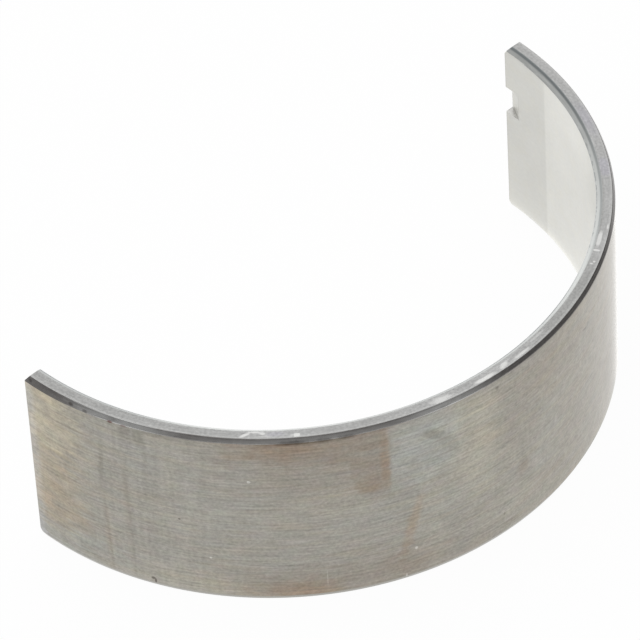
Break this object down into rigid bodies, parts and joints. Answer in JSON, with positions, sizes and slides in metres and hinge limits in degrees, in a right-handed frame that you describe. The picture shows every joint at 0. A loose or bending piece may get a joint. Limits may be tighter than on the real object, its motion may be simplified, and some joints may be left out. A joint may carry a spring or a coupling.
{
  "type": "engine bearing shell",
  "caption": "Thin half-round plain bearing shell for an engine journal, with chamfered edges, relieved bore ends and a pressed locating tang at one parting face.",
  "frame": {"origin": "on the bore's axis, at mid-width, in the free state", "axes": "+Z along the bore's axis, up as the shell stands on its edge; -Y towards the crown of the arc; +X towards the parting face with the locating tang"},
  "size_m": [0.09, 0.0439, 0.0288],
  "materials": {
    "lined_steel": "rolled and brushed steel back with light staining, paler satin lining in the bore"
  },
  "bodies": {
    "root": {"bearing_shell": "lined_steel"}
  },
  "joints": []
}
